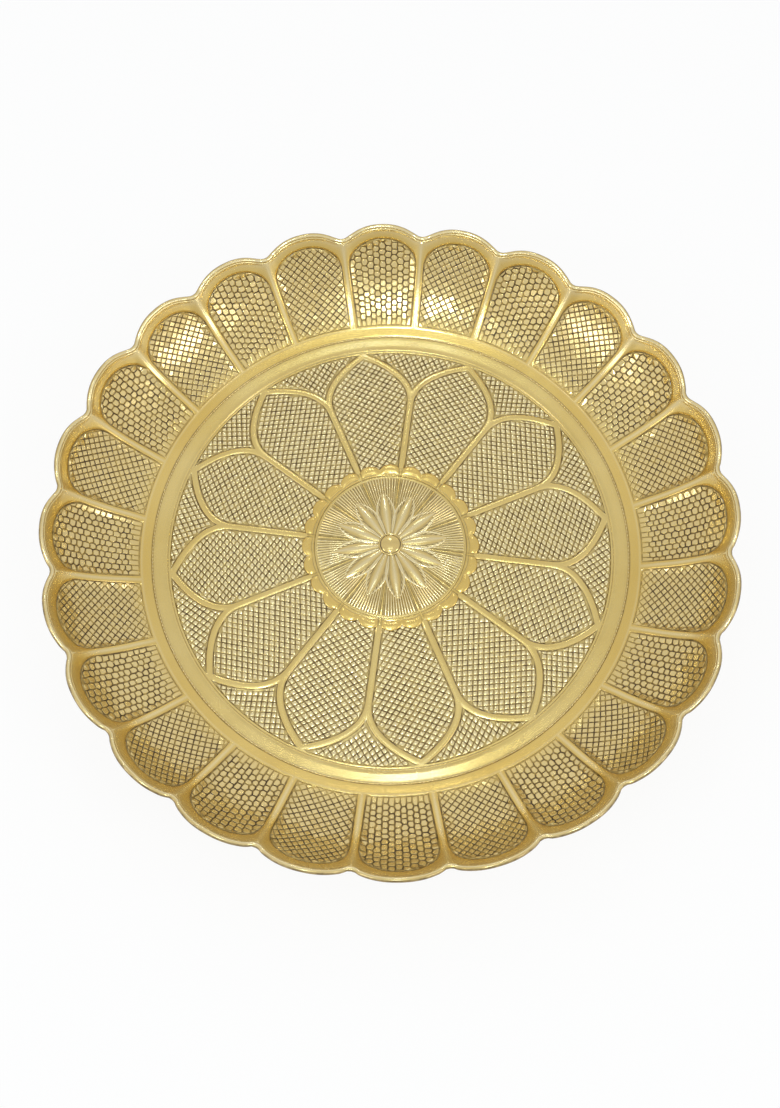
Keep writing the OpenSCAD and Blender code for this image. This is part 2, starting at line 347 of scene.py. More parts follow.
# Insets of a panel's floor and of the rings up to its outline, with height and darkness
floor_inset = 0.45
panel_floor = -0.42
panel_print = -0.1
panel_wall = ((0.3, panel_floor, 1.0), (0.1, -0.1, 0.5))
# Rings from the panel's outline to the petal's edge: share of the way, height, darkness. The
# border is painted paler towards the edge, as wear and as a highlight.
border_rings = ((0.2, 0, 0.0), (0.45, 0, -0.1), (0.7, 0, -0.3), (0.9, 0.05, -0.5))
# the petal's very edge is painted palest, as wear and as a highlight
edge_wear_and_highlight = -0.4
petal_seed = 300
panel_reach = 27
hatch_lean = 39
hatch_cross = 91
lean_play = 5
cross_play = 4
hatch_pitch = 2.48
print_reach = 26
print_pitch = 6.5
petal_rise = 0.38
# how pale the petals' pad tops are painted, as wear and as a highlight
petal_rubbed_and_highlight = 0.35
# The struck pattern runs out softly towards the step
faint_share = 0.62
faint_len = 7
# The border turns up against the wire, apart from the notch
lip_run = 0.29
lip_rise = 0.3
notch_share = 0.08


def petal(number, under):
    bm = bmesh.new()
    dice = random.Random(petal_seed + number)
    blank(bm, panel_outline(floor_inset), panel_print if under else panel_floor)
    panel = panel_outline(0)
    edge = petal_edge()
    steps = []
    if not under:
        steps = [(panel_outline(inset), height, dark) for inset, height, dark in panel_wall]
    steps.append((panel, 0, 0.1))
    for share, height, dark in border_rings:
        steps.append((between(panel, edge, share), 0 if under else height, dark))
    steps.append((edge, 0, edge_wear_and_highlight))
    rings(bm, steps)
    middle = (0, petal_middle)
    if under:
        hatch(bm, middle, print_reach, (0, math.pi / 2), print_pitch, dice)
    elif number % 2:
        pebbles(bm, dice)
        raise_pads(
            bm, rise=petal_rise, wall=0.31, shoulder=0.28, rubbed_and_highlight=petal_rubbed_and_highlight, dice=dice)
    else:
        lean = math.radians(hatch_lean + dice.uniform(-lean_play, lean_play))
        cross = math.radians(hatch_cross + dice.uniform(-cross_play, cross_play))
        lines = (lean, lean + cross)
        hatch(bm, middle, panel_reach, lines, hatch_pitch, dice)
        raise_pads(
            bm, rise=petal_rise, wall=0.34, shoulder=0.22, rubbed_and_highlight=petal_rubbed_and_highlight, dice=dice)
    if not under:
        tarnish_and_painted_light = bm.verts.layers.float["tarnish_and_painted_light"]
        for v in bm.verts:
            share = smooth((v.co.y - panel_margin) / faint_len)
            share = faint_share + (1 - faint_share) * share
            v.co.z *= share
            v[tarnish_and_painted_light] *= share
        for v in bm.verts:
            q = v.co.x / side(v.co.y)
            if v.co.y > cap_v and abs(v.co.y - lobe_v(q)) < 0.02:
                share = smooth((1 - abs(q)) / notch_share)
                v.co.y += lip_run * share
                v.co.z += lip_rise * share
    turn = first_petal + number * petal_pitch
    level = -half_sheet if under else half_sheet
    for v in bm.verts:
        v.co = on_rim(turn, v.co.x, v.co.y, v.co.z + level)
    if under:
        bmesh.ops.reverse_faces(bm, faces=bm.faces)
    return bm


def join(whole, part):
    mesh = bpy.data.meshes.new("part")
    part.to_mesh(mesh)
    part.free()
    whole.from_mesh(mesh)
    bpy.data.meshes.remove(mesh)


def open_edges(bm, least_r, most_r):
    return [
        e for e in bm.edges
        if e.is_boundary and all(least_r < v.co.xy.length < most_r for v in e.verts)]


# Turned parts of the sheet follow a profile of radius, height and darkness
def turn_on(bm, edges, profile):
    tarnish_and_painted_light = bm.verts.layers.float["tarnish_and_painted_light"]
    for r, z, dark in profile:
        grown = bmesh.ops.extrude_edge_only(bm, edges=edges)["geom"]
        for v in grown:
            if isinstance(v, bmesh.types.BMVert):
                v.co = (*(v.co.xy.normalized() * r), z)
                v[tarnish_and_painted_light] = dark
        edges = [e for e in grown if isinstance(e, bmesh.types.BMEdge)]
    return edges


# Brass: warm, and paler where worn and where a highlight is painted in, olive brown in the
# struck lines and where shade is painted in, with a faint unevenness from the press and fine
# polishing marks
def brass(name, bright, deep, dark, polish):
    made = bpy.data.materials.new(name)
    made.use_nodes = True
    nodes = made.node_tree.nodes
    links = made.node_tree.links
    shader = nodes["Principled BSDF"]
    shader.inputs["Metallic"].default_value = 1.0
    shader.inputs["Coat Weight"].default_value = 1.0
    shader.inputs["Coat Roughness"].default_value = 0.1
    shader.inputs["Coat IOR"].default_value = 1.5
    place = nodes.new("ShaderNodeTexCoord")

    def noise(scale, detail):
        node = nodes.new("ShaderNodeTexNoise")
        node.inputs["Scale"].default_value = scale
        node.inputs["Detail"].default_value = detail
        links.new(place.outputs["Object"], node.inputs["Vector"])
        return node.outputs["Fac"]

    def levels(source, low, high, from_low=0.3, from_high=0.7):
        node = nodes.new("ShaderNodeMapRange")
        node.inputs["From Min"].default_value = from_low
        node.inputs["From Max"].default_value = from_high
        node.inputs["To Min"].default_value = low
        node.inputs["To Max"].default_value = high
        links.new(source, node.inputs["Value"])
        return node.outputs["Result"]

    def reckoned(kind, a, b):
        node = nodes.new("ShaderNodeMath")
        node.operation = kind
        for socket, value in zip(node.inputs, (a, b)):
            if isinstance(value, float):
                socket.default_value = value
            else:
                links.new(value, socket)
        return node.outputs["Value"]

    def mixed(share, first, second):
        node = nodes.new("ShaderNodeMix")
        node.data_type = "RGBA"
        links.new(share, node.inputs["Factor"])
        for socket, value in ((node.inputs["A"], first), (node.inputs["B"], second)):
            if isinstance(value, tuple):
                socket.default_value = (*value, 1)
            else:
                links.new(value, socket)
        return node.outputs["Result"]

    def bump(source, strength, depth):
        node = nodes.new("ShaderNodeBump")
        node.inputs["Strength"].default_value = strength
        node.inputs["Distance"].default_value = depth
        links.new(source, node.inputs["Height"])
        return node

    # one attribute runs from pale, -1, through plain, 0, to dark, 1: pale is wear and painted
    # highlight, dark is patina and painted shade
    tarnish_and_painted_light = nodes.new("ShaderNodeAttribute")
    tarnish_and_painted_light.attribute_name = "tarnish_and_painted_light"
    rubbed_and_highlight = levels(tarnish_and_painted_light.outputs["Fac"], 1.0, 0.0, -1.0, 0.0)
    blotch = levels(noise(26, 4), 0.0, 1.0)
    patina = levels(noise(420, 3), 0.55, 1.15)
    # the dark colour is patina in the grooves, and painted shade on the wire's lower outer side
    groove = nodes.new("ShaderNodeClamp")
    darkening = reckoned("MULTIPLY", tarnish_and_painted_light.outputs["Fac"], patina)
    links.new(darkening, groove.inputs["Value"])
    # the pale colour is worn brass and also a painted highlight, whiter than the metal reflects
    plain = mixed(rubbed_and_highlight, mixed(blotch, bright, deep), (0.87, 0.78, 0.5))
    colour = mixed(groove.outputs["Result"], plain, dark)
    links.new(colour, shader.inputs["Base Color"])
    dull = reckoned("MULTIPLY", groove.outputs["Result"], 0.3)
    sheen = levels(noise(70, 5), polish - 0.05, polish + 0.07)
    links.new(reckoned("ADD", sheen, dull), shader.inputs["Roughness"])

    # the sheet swells a little from the press, shows the lathe's rings and is polished over
    turned = nodes.new("ShaderNodeTexWave")
    turned.wave_type = "RINGS"
    turned.rings_direction = "Z"
    turned.inputs["Scale"].default_value = 640
    turned.inputs["Distortion"].default_value = 3
    turned.inputs["Detail"].default_value = 2
    links.new(place.outputs["Object"], turned.inputs["Vector"])
    swell = bump(noise(55, 2), 0.5, 0.0003)
    lathe = bump(turned.outputs["Fac"], 0.12, 0.00005)
    marks = bump(noise(900, 4), 0.35, 0.00006)
    links.new(swell.outputs["Normal"], lathe.inputs["Normal"])
    links.new(lathe.outputs["Normal"], marks.inputs["Normal"])
    links.new(marks.outputs["Normal"], shader.inputs["Normal"])
    return made


# Plain faces are shaded smooth, and the pads that are still marked as field stay flat
def keep(bm, name, node, finish):
    bmesh.ops.recalc_face_normals(bm, faces=bm.faces)
    bmesh.ops.scale(bm, vec=(mm, mm, mm), verts=bm.verts)
    for f in bm.faces:
        f.smooth = f.material_index == plain_face
        f.material_index = 0
    mesh = bpy.data.meshes.new(name)
    bm.to_mesh(mesh)
    bm.free()
    mesh.materials.append(finish)
    piece = bpy.data.objects.new(name, mesh)
    bpy.context.scene.collection.objects.link(piece)
    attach(piece, "root")
    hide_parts(node)


weld = 0.003
# Spans of radius that hold the rim's open edges at the wire and at the step
lip_span = (130, 160)
step_span = (100, 120)
# The step from the petals down to the groove of the crease, above and below
step_top = [
    (112.2, 7.76, 0.0), (110.5, 7.08, 0.0), (109.3, 6.6, 0.0), (108.95, 6.42, 0.4),
    (108.7, 6.24, 0.8), (108.43, 6.16, 0.8)]
step_under = [(110.8, 5.89, 0.0), (109.0, 5.19, 0.1), (108.43, 5.01, 0.2)]
# The underside isn't struck, so its print holds little patina
under_dark = 0.15


def petal_ring(under):
    bm = bmesh.new()
    for number in range(petals):
        join(bm, petal(number, under))
    bmesh.ops.remove_doubles(bm, verts=bm.verts, dist=weld)
    return bm


def brighten(bm):
    tarnish_and_painted_light = bm.verts.layers.float["tarnish_and_painted_light"]
    for v in bm.verts:
        v[tarnish_and_painted_light] *= under_dark


rim_brass = brass("rim brass", (0.78, 0.57, 0.17), (0.72, 0.5, 0.12), (0.08, 0.046, 0.011), 0.22)
rim = petal_ring(False)
turn_on(rim, open_edges(rim, *step_span), step_top)
below = petal_ring(True)
brighten(below)
turn_on(below, open_edges(below, *step_span), step_under)
join(rim, below)
bmesh.ops.bridge_loops(rim, edges=open_edges(rim, *lip_span))
bmesh.ops.bridge_loops(rim, edges=open_edges(rim, *step_span))
keep(rim, "petal_rim", "dish", rim_brass)

# Well: the flat middle of the same sheet, with 12 petals drawn in raised lines and a field
# of struck pads in each petal and in each corner between two of them. The smooth band
# round it climbs to the step, and the disc in the middle is fluted in fine rays.
floor_z = 3.8
well_petals = 12
well_turn = math.radians(6.6)
half_petal = math.radians(15)
tip_r = 100.2
tip_lean = math.radians(60)
tip_len = 13.2
fork_r = 74.0
fork_len = 12.4
fork = Vector((fork_r * math.cos(half_petal), fork_r * math.sin(half_petal)))
fork_way = fork.normalized() * fork_len
tip = Vector((tip_r, 0))
tip_way = Vector((-math.cos(tip_lean), math.sin(tip_lean))) * tip_len
field_r = 36.9
field_limit = 101.4
disc_r = 35.1
disc_rise = 1.5
dome_r = (disc_r ** 2 + disc_rise ** 2) / (2 * disc_rise)


def dome(r):
    return disc_rise - dome_r + math.sqrt(dome_r ** 2 - r ** 2)


# The raised line leaves the divider at the fork and bends over to the petal's tip; this is
# a point d to the left of it
def beside(t, d):
    s = 1 - t
    on_line = fork * s ** 3 + (fork + fork_way) * 3 * t * s * s
    on_line += (tip + tip_way) * 3 * t * t * s
    on_line += tip * t ** 3
    way = fork_way * s * s + (tip + tip_way - fork - fork_way) * 2 * t * s - tip_way * t * t
    return on_line + Vector((-way.y, way.x)).normalized() * d


def bearing(p):
    return math.atan2(p.y, p.x)


def first_where(test):
    low, high = 0.0, 1.0
    for _ in range(40):
        middle = (low + high) / 2
        if test(middle):
            high = middle
        else:
            low = middle
    return high


end_steps = 3
divider_steps = 5
line_steps = 12
limit_steps = 5
limit_share = 0.4
axis_gap = 0.35


# Outline of the field in a petal, whose edge lies d from the middle of the raised line
def round_petal(d):
    a = half_petal - math.asin(d / field_r)
    half = []
    for i in range(end_steps + 1):
        half.append((field_r * math.cos(a * i / end_steps), field_r * math.sin(a * i / end_steps)))
    low = Vector(half[-1])
    start = beside(0, -d)
    half += [tuple(low.lerp(start, i / divider_steps)) for i in range(1, divider_steps + 1)]
    end = first_where(lambda t: beside(t, -d).y < 0)
    half += [tuple(beside(end * i / line_steps, -d)) for i in range(1, line_steps + 1)]
    return half + [(x, -y) for x, y in reversed(half[1:-1])]


# Outline of the field in the corner between two petals and the kerb
def corner(d):
    limit = field_limit - limit_share * d
    leave = first_where(lambda t: bearing(beside(t, d)) < half_petal)
    end = first_where(lambda t: beside(t, d).length > limit or beside(t, d).y < axis_gap)
    cusp = beside(leave, d).length
    half = [(cusp * math.cos(half_petal), cusp * math.sin(half_petal))]
    for i in range(1, line_steps + 1):
        half.append(tuple(beside(leave + (end - leave) * i / line_steps, d)))
    last = bearing(Vector(half[-1]))
    for i in range(1, limit_steps + 1):
        a = last + (half_petal - last) * i / limit_steps
        half.append((limit * math.cos(a), limit * math.sin(a)))
    far = []
    for x, y in reversed(half[1:-1]):
        a = 2 * half_petal - math.atan2(y, x)
        far.append((math.hypot(x, y) * math.cos(a), math.hypot(x, y) * math.sin(a)))
    return half + far


# From a field's floor up over the line beside it: distance from the line's middle, height
# over the well's floor and darkness
well_floor = (1.8, -0.5)
line_section = ((1.62, -0.45, 1.0), (1.42, -0.1, 0.4), (1.2, 0.02, 0.0), (0.65, 0.15, 0.0))
well_seed = 500
well_reach = 40
well_pitch = 2.35
well_lean_play = 6
# Middle, lean and cross angle of the struck lines, in a petal and in a corner
petal_lines = ((70, 0), -46, 101)
corner_lines = ((90, 24), -36, 83)


def well_field(number, outline, under):
    bm = bmesh.new()
    dice = random.Random(well_seed + number)
    blank(bm, outline(well_floor[0]), well_floor[1])
    rings(bm, [(outline(d), height, dark) for d, height, dark in line_section])
    if not under:
        middle, lean, cross = petal_lines if outline is round_petal else corner_lines
        lean += dice.uniform(-well_lean_play, well_lean_play)
        cross += dice.uniform(-cross_play, cross_play)
        lines = (math.radians(lean), math.radians(lean + cross))
        hatch(bm, middle, well_reach, lines, well_pitch, dice)
        # the well's pad tops are painted paler still, as wear and as a highlight
        raise_pads(bm, rise=0.46, wall=0.28, shoulder=0.42, rubbed_and_highlight=0.6, dice=dice)
    turn = Matrix.Rotation(well_turn + number // 2 * 2 * half_petal, 3, "Z")
    bmesh.ops.rotate(bm, cent=(0, 0, 0), matrix=turn, verts=bm.verts)
    return bm


kerb_foot_r = 101.5
kerb_sides = 288


def well_sheet(under, rays):
    bm = bmesh.new()
    for number in range(2 * well_petals):
        join(bm, well_field(number, corner if number % 2 else round_petal, under))
    edges = [e for e in bm.edges if e.is_boundary]
    turn = Matrix.Rotation(well_turn, 3, "Z")
    for r, count in ((kerb_foot_r, kerb_sides), (disc_r, rays)):
        circle = bmesh.ops.create_circle(bm, segments=count, radius=r)["verts"]
        bmesh.ops.rotate(bm, cent=(0, 0, 0), matrix=turn, verts=circle)
        edges += {e for v in circle for e in v.link_edges}
    bmesh.ops.triangle_fill(
        bm, use_beauty=True, use_dissolve=False, edges=edges, normal=(0, 0, 1))
    return bm


# Spans of radius that hold the well's open edges
hub_span = (4, 8)
disc_span = (30, 40)
kerb_span = (101, 102)
crease_span = (108, 109)
rays = 624
petal_rays = rays // well_petals
disc_edge = [(34.8, 0.02, 0.8), (34.6, 0.22, 0.1), (34.2, 0.3, 0.0), (33.85, 0.14, 0.3)]
# Radius of each ring of rays, and its share of their full height
ray_rings = (
    (33.7, 0.0), (33.4, 1.0), (27.0, 1.0), (21.0, 0.9), (15.0, 0.7), (11.0, 0.4), (8.0, 0.0))
# Height and darkness across a ray, and from the middle of a divider to its side. A ray's crest
# is painted pale, as wear and as a highlight, and its groove holds dark patina.
ray = ((0.34, -0.9), (0.14, 0.0), (-0.34, 1.0), (0.14, 0.0))
divider = ((0.4, 0.0), (0.2, 0.0), (-0.3, 1.0))
kerb_and_band = [
    (101.75, 3.78, 0.4), (101.95, 4.22, 0.1), (102.2, 4.43, 0.0), (102.5, 4.48, 0.0),
    (102.8, 4.46, 0.1), (104.5, 4.99, 0.0), (106.5, 5.64, 0.0), (107.8, 6.06, 0.1),
    (108.05, 6.11, 0.3), (108.37, 6.13, 0.7)]
band_under = [(102.46, 3.11, 0.2), (105.5, 4.07, 0.1), (108.37, 4.98, 0.2)]
disc_under = [(r, dome(r), 0.1) for r in (30, 22, 14, 6)]

well = well_sheet(False, rays)
tarnish_and_painted_light = well.verts.layers.float["tarnish_and_painted_light"]
edges = turn_on(well, open_edges(well, *disc_span), disc_edge)
for r, share in ray_rings:
    edges = turn_on(well, edges, [(r, dome(r), 0.0)])
    for v in {v for e in edges for v in e.verts}:
        column = round((math.atan2(v.co.y, v.co.x) - well_turn) / math.tau * rays) % rays
        from_line = abs(column % petal_rays - petal_rays // 2)
        beam = divider[from_line] if from_line < len(divider) else ray[column % len(ray)]
        v.co.z += beam[0] * share
        v[tarnish_and_painted_light] = beam[1] * share
bmesh.ops.holes_fill(well, edges=edges, sides=0)
bmesh.ops.translate(well, vec=(0, 0, floor_z), verts=well.verts)
turn_on(well, open_edges(well, *kerb_span), kerb_and_band)
below = well_sheet(True, rays // len(ray))
brighten(below)
turn_on(below, open_edges(below, *disc_span), disc_under)
bmesh.ops.holes_fill(below, edges=open_edges(below, *hub_span), sides=0)
bmesh.ops.translate(below, vec=(0, 0, floor_z - sheet_t), verts=below.verts)
turn_on(below, open_edges(below, *kerb_span), band_under)
bmesh.ops.reverse_faces(below, faces=below.faces)
join(well, below)
bmesh.ops.bridge_loops(well, edges=open_edges(well, *crease_span))
well_brass = brass("well brass", (0.78, 0.6, 0.22), (0.72, 0.53, 0.16), (0.11, 0.065, 0.016), 0.23)
keep(well, "struck_well", "dish", well_brass)

# Milled line: the row of fine beads that the die leaves in the crease between the smooth
# band and the step, bright against the dark groove that it stands in.
crease_r = 108.4
beads = 380
bead_row_r = 0.38
bead_row_z = 6.32


def tube(turns, sides, r, thick):
    bm = bmesh.new()
    bm.verts.layers.float.new("tarnish_and_painted_light")
    section = bmesh.ops.create_circle(bm, segments=sides, radius=thick)["verts"]
    upright = Matrix.Rotation(math.pi / 2, 3, "X")
    bmesh.ops.rotate(bm, cent=(0, 0, 0), matrix=upright, verts=section)
    bmesh.ops.translate(bm, vec=(r, 0, 0), verts=section)
    bmesh.ops.spin(
        bm, geom=bm.verts[:] + bm.edges[:], cent=(0, 0, 0), axis=(0, 0, 1), angle=math.tau,
        steps=turns, use_merge=True)
    return bm


wire_brass = brass(
    "wire brass", (0.8, 0.63, 0.28), (0.74, 0.55, 0.18), (0.14, 0.085, 0.025), 0.22)
beading = tube(3 * beads, 6, crease_r, bead_row_r)
tarnish_and_painted_light = beading.verts.layers.float["tarnish_and_painted_light"]
for v in beading.verts:
    turn = math.atan2(v.co.y, v.co.x)
    grain = 0.75 + 0.25 * math.cos(turn * beads)
    r = crease_r + (v.co.xy.length - crease_r) * grain
    v.co = (r * math.cos(turn), r * math.sin(turn), bead_row_z + v.co.z * grain)
    v[tarnish_and_painted_light] = 0.7 - 1.1 * grain
keep(beading, "crease_beading", "dish", wire_brass)

# Scallop ring: a band of 24 scallops round the disc, with a thin raised line along its
# inner edge and a short bar where each divider of the well runs in. It is struck up from
# the same sheet and smooth.
lobes = 24
lobe_pitch = math.tau / lobes
lobe_middle = 35.2
lobe_r = 5.7
band_r = 34.85
band_sides = 384
# Share of the way in from the lobed edge, height and darkness
lobe_profile = (
    (0.0, -0.5, 1.0), (0.01, 0.1, 0.8), (0.035, 0.3, 0.1), (0.1, 0.52, 0.0), (0.22, 0.72, 0.0),
    (0.38, 0.82, 0.0), (0.54, 0.74, 0.0), (0.68, 0.5, 0.0), (0.77, 0.22, 0.3), (0.82, 0.0, 1.0),
    (0.87, 0.0, 1.0), (0.9, 0.2, 0.0), (0.95, 0.24, 0.0), (0.985, 0.06, 0.7), (1.0, -0.6, 1.0))
# The scallops swell between these shares, and lie low where the band is narrow
swell_start = 0.02
swell_end = 0.88
low_share = 0.3
narrow_w = 3.4
widening = 2.2
# Half the turn that a bar takes up, and that its grooves reach
bar_turn = 0.006
groove_turn = 0.02
bar_h = 0.42
groove_h = 0.2
groove_dark = 0.6

band = bmesh.new()
tarnish_and_painted_light = band.verts.layers.float.new("tarnish_and_painted_light")
ring = bmesh.ops.create_circle(band, segments=band_sides, radius=lobe_middle + lobe_r)["verts"]
bmesh.ops.rotate(band, cent=(0, 0, 0), matrix=Matrix.Rotation(well_turn, 3, "Z"), verts=ring)
edges = band.edges[:]
for share, height, dark in lobe_profile:
    if share > 0:
        edges = turn_on(band, edges, [(1, 0, 0)])
    for v in {v for e in edges for v in e.verts}:
        turn = math.atan2(v.co.y, v.co.x)
        off = (turn - well_turn) % lobe_pitch - lobe_pitch / 2
        swell = math.sqrt(lobe_r ** 2 - (lobe_middle * math.sin(off)) ** 2)
        lobed = lobe_middle * math.cos(off) + swell
        width = lobed - band_r
        r = lobed - width * share
        lift = height
        if swell_start < share < swell_end:
            lift *= low_share + (1 - low_share) * smooth((width - narrow_w) / widening)
        from_line = abs((turn - well_turn) % (2 * lobe_pitch) - lobe_pitch)
        if from_line < groove_turn and swell_start < share:
            lift = max(height, bar_h) if from_line < bar_turn else min(lift, groove_h)
        if from_line < bar_turn:
            v[tarnish_and_painted_light] = 0.0
        elif from_line > groove_turn:
            v[tarnish_and_painted_light] = dark
        else:
            v[tarnish_and_painted_light] = groove_dark
        v.co = (r * math.cos(turn), r * math.sin(turn), floor_z + lift)
bmesh.ops.bridge_loops(band, edges=[e for e in band.edges if e.is_boundary])
keep(band, "scallop_ring", "dish", rim_brass)

# Leaf flower: 12 pointed leaves struck up on the fluted disc, each with a ridge along its
# middle and a thin raised outline. The crests are painted pale, as wear and as a painted
# highlight, and the grooves hold dark patina.
medal_brass = brass(
    "medallion brass", (0.76, 0.58, 0.22), (0.7, 0.51, 0.16), (0.12, 0.07, 0.018), 0.17)
leaves = 12
leaf_root = 4.2
leaf_len = 26.8
leaf_half = 4.35
leaf_sink = 0.7
least_full = 0.02
least_ridge = 0.2
# Share of the half width, height over the disc and darkness, from side to side; the pale
# crests are wear and painted highlight
leaf_section = (
    (-1.12, -0.5, 1.0), (-1.0, 0.3, -0.8), (-0.86, 0.36, -0.6), (-0.72, 0.02, 1.0),
    (-0.42, 0.72, 0.1), (0.0, 1.0, -0.6), (0.42, 0.72, 0.1), (0.72, 0.02, 1.0),
    (0.86, 0.36, -0.6), (1.0, 0.3, -0.8), (1.12, -0.5, 1.0))
strips = len(leaf_section) - 1

flower = bmesh.new()
flower.verts.layers.float.new("tarnish_and_painted_light")
for k in range(leaves):
    leaf = bmesh.new()
    tarnish_and_painted_light = leaf.verts.layers.float.new("tarnish_and_painted_light")
    bmesh.ops.create_grid(leaf, x_segments=14, y_segments=strips, size=1.0)
    for v in leaf.verts:
        along = v.co.x / 2 + 0.5
        across, height, dark = leaf_section[round((v.co.y + 1) * strips / 2)]
        full = math.sin(math.pi * (0.1 + 0.9 * along) ** 1.2)
        full = max(least_full, full) ** 0.85
        r = leaf_root + (leaf_len - leaf_root) * along
        v.co = (r, across * leaf_half * full, dome(r) + height * max(least_ridge, full))
        v[tarnish_and_painted_light] = dark
    rim_edges = [e for e in leaf.edges if e.is_boundary]
    for v in bmesh.ops.extrude_edge_only(leaf, edges=rim_edges)["geom"]:
        if isinstance(v, bmesh.types.BMVert):
            v.co.z = dome(v.co.x) - leaf_sink
    bmesh.ops.holes_fill(leaf, edges=[e for e in leaf.edges if e.is_boundary], sides=0)
    bmesh.ops.translate(leaf, vec=(0, 0, floor_z), verts=leaf.verts)
    turn = Matrix.Rotation(well_turn + k * math.tau / leaves, 3, "Z")
    bmesh.ops.rotate(leaf, cent=(0, 0, 0), matrix=turn, verts=leaf.verts)
    join(flower, leaf)
keep(flower, "leaf_flower", "dish", medal_brass)

# Centre hub: a low round boss with a fine groove and a rolled edge, struck up over the
# roots of the leaves from the same sheet.
hub_z = floor_z + disc_rise
hub_sides = 64
hub_top_r = 0.5
hub_top_h = 1.3
# Radius, height over the disc's middle and darkness
hub_profile = (
    (1.4, 1.26, 0), (2.5, 1.12, 0), (3.5, 0.86, 0), (4.2, 0.55, 0), (4.45, 0.3, 1),
    (4.7, 0.3, 1), (4.95, 0.58, 0), (5.3, 0.52, 0), (5.6, 0.05, 0.9), (5.65, -0.6, 1))

hub = bmesh.new()
hub.verts.layers.float.new("tarnish_and_painted_light")
bmesh.ops.create_circle(hub, cap_ends=True, segments=hub_sides, radius=hub_top_r)
for v in hub.verts:
    v.co.z = hub_z + hub_top_h
edges = turn_on(hub, hub.edges[:], [(r, hub_z + h, dark) for r, h, dark in hub_profile])
bmesh.ops.holes_fill(hub, edges=edges, sides=0)
keep(hub, "centre_hub", "dish", medal_brass)

# Edge wire: a round brass wire bent along the lobed edge, which is let into it and soldered.
# It is painted palest on top, as wear from hands and cloths and as a painted highlight, and its
# lower outer side is painted dark as shade.
wire_steps = 24
wire_sides = 14
# The wire's direction is felt for over this share of half a petal on each side
feel = 0.01
notch_q = 0.98

wire = tube(petals * wire_steps, wire_sides, plate_r, bead_r)
tarnish_and_painted_light = wire.verts.layers.float["tarnish_and_painted_light"]
for v in wire.verts:
    turn = math.atan2(v.co.y, v.co.x)
    out = v.co.xy.length - plate_r
    up = v.co.z
    number = round((turn - first_petal) / petal_pitch)
    middle = first_petal + number * petal_pitch
    q = max(-1.0, min(1.0, (middle - turn) / petal_pitch * 2))
    # the wire lies square to the edge, which runs straight for a moment in the notch
    ahead = lobe_v(min(1.0, q + feel)) - lobe_v(max(-1.0, q - feel))
    ahead /= 2 * feel * side(slant)
    if abs(q) > notch_q:
        ahead = 0.0
    spread = math.hypot(1, ahead)
    x = q * side(lobe_v(q))
    x_off = -ahead / spread * out
    v_off = out / spread
    base = lobe_v(q) + seat
    tilt = slope_at(lobe_v(q))
    lift = rib(x, lobe_v(q)) + up
    r = mid_r(base) - lift * math.sin(tilt) + v_off * math.cos(tilt)
    z = mid_z(base) + lift * math.cos(tilt) + v_off * math.sin(tilt)
    angle = middle - (x + x_off) / mid_r(base)
    v.co = (r * math.cos(angle), r * math.sin(angle), z)
    # painted shade on the lower outer side, and a painted highlight with wear along the top
    darkening = 0.9 * smooth((out - 0.35) / 0.5) * smooth((0.9 - up) / 0.5)
    v[tarnish_and_painted_light] = darkening - 0.55 * smooth((up + 0.2) / 0.8)
keep(wire, "edge_wire", "edge_bead", wire_brass)

# Foot ring: a low turned ring soldered under the smooth band, on which the plate stands.
# Its lower corners are broken, and it is left satin from the lathe.
foot_inner = 102.7
foot_outer = 105.3
foot_inner_top = 3.186
foot_outer_top = 4.01
broken = 0.4
broken_near = 0.12
foot_dark = 0.1
foot_section = [
    (foot_inner, broken), (foot_inner + broken_near, broken_near), (foot_inner + broken, 0),
    (foot_outer - broken, 0), (foot_outer - broken_near, broken_near), (foot_outer, broken),
    (foot_outer, foot_outer_top)]

foot_brass = brass("foot brass", (0.64, 0.49, 0.2), (0.55, 0.4, 0.13), (0.2, 0.13, 0.04), 0.3)
foot = bmesh.new()
foot.verts.layers.float.new("tarnish_and_painted_light")
ring = bmesh.ops.create_circle(foot, segments=288, radius=foot_inner)["verts"]
bmesh.ops.translate(foot, vec=(0, 0, foot_inner_top), verts=ring)
turn_on(foot, foot.edges[:], [(r, z, foot_dark) for r, z in foot_section])
bmesh.ops.bridge_loops(foot, edges=[e for e in foot.edges if e.is_boundary])
keep(foot, "turned_foot", "foot_ring", foot_brass)

# Floor: a wide white sheet of paper under the plate, just clear of the foot ring. It looks
# white to the camera and in reflections, and still takes a faint shadow.
floor_half = 20.0
floor_gap = 0.0002
white_share = 0.86
floor = bmesh.new()
bmesh.ops.create_grid(floor, x_segments=1, y_segments=1, size=floor_half)
bmesh.ops.translate(floor, vec=(0, 0, -floor_gap), verts=floor.verts)
sheet = bpy.data.meshes.new("floor")
floor.to_mesh(sheet)
floor.free()
ground = bpy.data.objects.new("floor", sheet)
bpy.context.scene.collection.objects.link(ground)
paper = bpy.data.materials.new("white paper")
paper.use_nodes = True
nodes = paper.node_tree.nodes
links = paper.node_tree.links
shader = nodes["Principled BSDF"]
shader.inputs["Base Color"].default_value = (0.86, 0.86, 0.85, 1)
shader.inputs["Roughness"].default_value = 0.9
glow = nodes.new("ShaderNodeEmission")
glow.inputs["Color"].default_value = (1, 1, 1, 1)
path = nodes.new("ShaderNodeLightPath")
seen = path.outputs["Is Camera Ray"]
for ray_kind in ("Is Glossy Ray", "Is Transmission Ray"):
    either = nodes.new("ShaderNodeMath")
    either.operation = "MAXIMUM"
    links.new(seen, either.inputs[0])
    links.new(path.outputs[ray_kind], either.inputs[1])
    seen = either.outputs["Value"]
white = nodes.new("ShaderNodeMath")
white.operation = "MULTIPLY"
white.inputs[1].default_value = white_share
links.new(seen, white.inputs[0])
blend = nodes.new("ShaderNodeMixShader")
links.new(white.outputs["Value"], blend.inputs["Fac"])
